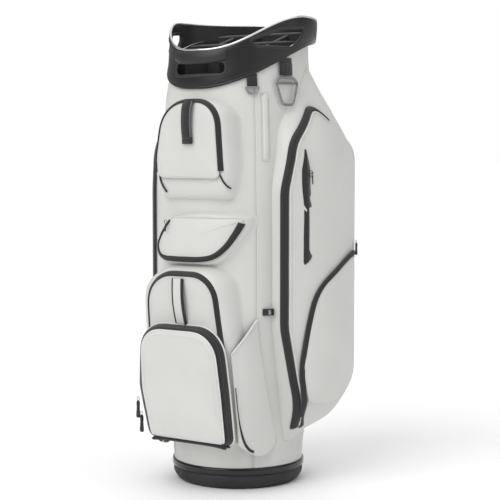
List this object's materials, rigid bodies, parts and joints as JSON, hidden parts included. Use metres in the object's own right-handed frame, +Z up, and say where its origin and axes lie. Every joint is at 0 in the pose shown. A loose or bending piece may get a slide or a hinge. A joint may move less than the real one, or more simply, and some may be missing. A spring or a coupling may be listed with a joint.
{
  "type": "golf staff bag",
  "caption": "Upright cart style golf bag: a leather tube on a round rubber foot, a moulded cuff with hand holes, full length dividers, front pockets and side apparel pockets.",
  "frame": {"origin": "centre of the flat underside of the foot", "axes": "+Z up, -Y towards the front pockets, +X towards the side that carries the towel ring"},
  "size_m": [0.4188, 0.3921, 0.8994],
  "materials": {
    "leather": "smooth coated leather",
    "black_fabric": "woven zip tape and webbing",
    "black_plastic": "satin moulded",
    "base_rubber": "matt",
    "gunmetal": "plated",
    "lining": "brushed lining over sheet",
    "fibreglass": "pultruded rod"
  },
  "bodies": {
    "bag": {"base_foot": "base_rubber", "base_band": "black_fabric", "front_shell_panel": "leather", "right_shell_panel": "leather", "back_shell_panel": "leather", "left_shell_panel": "leather", "right_quick_pocket": "leather", "left_quick_pocket": "leather", "top_cuff": "black_plastic", "rim_trim": "black_plastic", "front_grip": "black_plastic", "divider_wall_1": "lining", "divider_wall_2": "lining", "divider_wall_3": "lining", "divider_sheet_1_1": "lining", "divider_sheet_1_2": "lining", "divider_sheet_2_1": "lining", "divider_sheet_2_2": "lining", "divider_sheet_2_3": "lining", "divider_sheet_3_1": "lining", "divider_sheet_3_2": "lining", "divider_sheet_3_3": "lining", "divider_sheet_4_1": "lining", "divider_sheet_4_2": "lining", "divider_sheet_4_3": "lining", "stay_front_right": "fibreglass", "stay_front_left": "fibreglass", "stay_back_right": "fibreglass", "stay_back_left": "fibreglass", "rangefinder_pocket": "leather", "valuables_pocket": "leather", "ball_pocket": "leather", "right_side_pocket": "leather", "left_side_pocket": "leather", "accessory_tab": "black_fabric", "towel_tab": "black_fabric", "pen_sleeve": "leather", "strap_guard": "black_plastic", "spine_handle": "black_fabric"},
    "rangefinder_cover": {"rangefinder_lid": "leather", "rangefinder_pull": "black_fabric"},
    "valuables_cover": {"valuables_flap": "leather"},
    "valuables_slider": {"valuables_pull": "gunmetal"},
    "ball_cover": {"ball_lid": "leather", "front_pocket_gusset": "black_fabric", "front_handle": "leather"},
    "front_cover": {"front_pocket_lid": "leather"},
    "right_door": {"right_side_door": "leather", "right_lower_pocket": "leather"},
    "left_door": {"left_side_door": "leather", "left_lower_pocket": "leather"},
    "right_slider": {"right_slit_slider": "gunmetal"},
    "left_slider": {"left_slit_slider": "gunmetal"},
    "right_zip_pull": {"right_lower_pull": "black_plastic"},
    "left_zip_pull": {"left_lower_pull": "black_plastic"},
    "front_pull_a": {"front_zip_pull_1": "black_plastic"},
    "front_pull_b": {"front_zip_pull_2": "black_plastic"},
    "accessory_link": {"accessory_ring": "gunmetal"},
    "towel_link": {"towel_ring": "gunmetal"}
  },
  "joints": [
    {"name": "rangefinder_cover_hinge", "type": "hinge", "parent": "bag", "child": "rangefinder_cover", "pos_m": [0, -0.1644, 0.592], "axis": [1, 0, 0], "range_deg": [0, 90]},
    {"name": "valuables_cover_hinge", "type": "hinge", "parent": "bag", "child": "valuables_cover", "pos_m": [0, -0.16, 0.52], "axis": [-1, 0, 0], "range_deg": [0, 60]},
    {"name": "ball_cover_hinge", "type": "hinge", "parent": "bag", "child": "ball_cover", "pos_m": [0, -0.141, 0.099], "axis": [1, 0, 0], "range_deg": [0, 75]},
    {"name": "front_cover_hinge", "type": "hinge", "parent": "ball_cover", "child": "front_cover", "pos_m": [0, -0.16754, 0.09527], "axis": [1, 0, 0], "range_deg": [0, 75]},
    {"name": "right_door_hinge", "type": "hinge", "parent": "bag", "child": "right_door", "pos_m": [0.1858, 0.131, 0.43], "axis": [0, 0, 1], "range_deg": [0, 100]},
    {"name": "right_slit_zip", "type": "slide", "parent": "right_door", "child": "right_slider", "axis": [0, 0, -1], "range_m": [0, 0.13]},
    {"name": "right_lower_pull_swing", "type": "hinge", "parent": "right_door", "child": "right_zip_pull", "pos_m": [0.1995, 0.118, 0.468], "axis": [0, -1, 0], "range_deg": [0, 90]},
    {"name": "left_door_hinge", "type": "hinge", "parent": "bag", "child": "left_door", "pos_m": [-0.1858, 0.131, 0.43], "axis": [0, 0, -1], "range_deg": [0, 100]},
    {"name": "left_slit_zip", "type": "slide", "parent": "left_door", "child": "left_slider", "axis": [0, 0, -1], "range_m": [0, 0.13]},
    {"name": "left_lower_pull_swing", "type": "hinge", "parent": "left_door", "child": "left_zip_pull", "pos_m": [-0.1995, 0.118, 0.468], "axis": [0, 1, 0], "range_deg": [0, 90]},
    {"name": "valuables_pull_swing", "type": "hinge", "parent": "valuables_cover", "child": "valuables_slider", "pos_m": [-0.046, -0.1722, 0.514], "axis": [-0.9781, 0.2079, 0], "range_deg": [0, 90]},
    {"name": "accessory_ring_swing", "type": "hinge", "parent": "bag", "child": "accessory_link", "pos_m": [0.10199, -0.09883, 0.7622], "axis": [-0.6959, -0.7181, 0], "range_deg": [0, 95]},
    {"name": "towel_ring_swing", "type": "hinge", "parent": "bag", "child": "towel_link", "pos_m": [0.13556, -0.0338, 0.7795], "axis": [-0.2419, -0.9703, 0], "range_deg": [0, 95]},
    {"name": "front_pull_a_swing", "type": "hinge", "parent": "ball_cover", "child": "front_pull_a", "pos_m": [-0.111, -0.172, 0.17], "axis": [0, 1, 0], "range_deg": [0, 90]},
    {"name": "front_pull_b_swing", "type": "hinge", "parent": "ball_cover", "child": "front_pull_b", "pos_m": [-0.112, -0.16, 0.14], "axis": [0, 1, 0], "range_deg": [0, 90]}
  ]
}
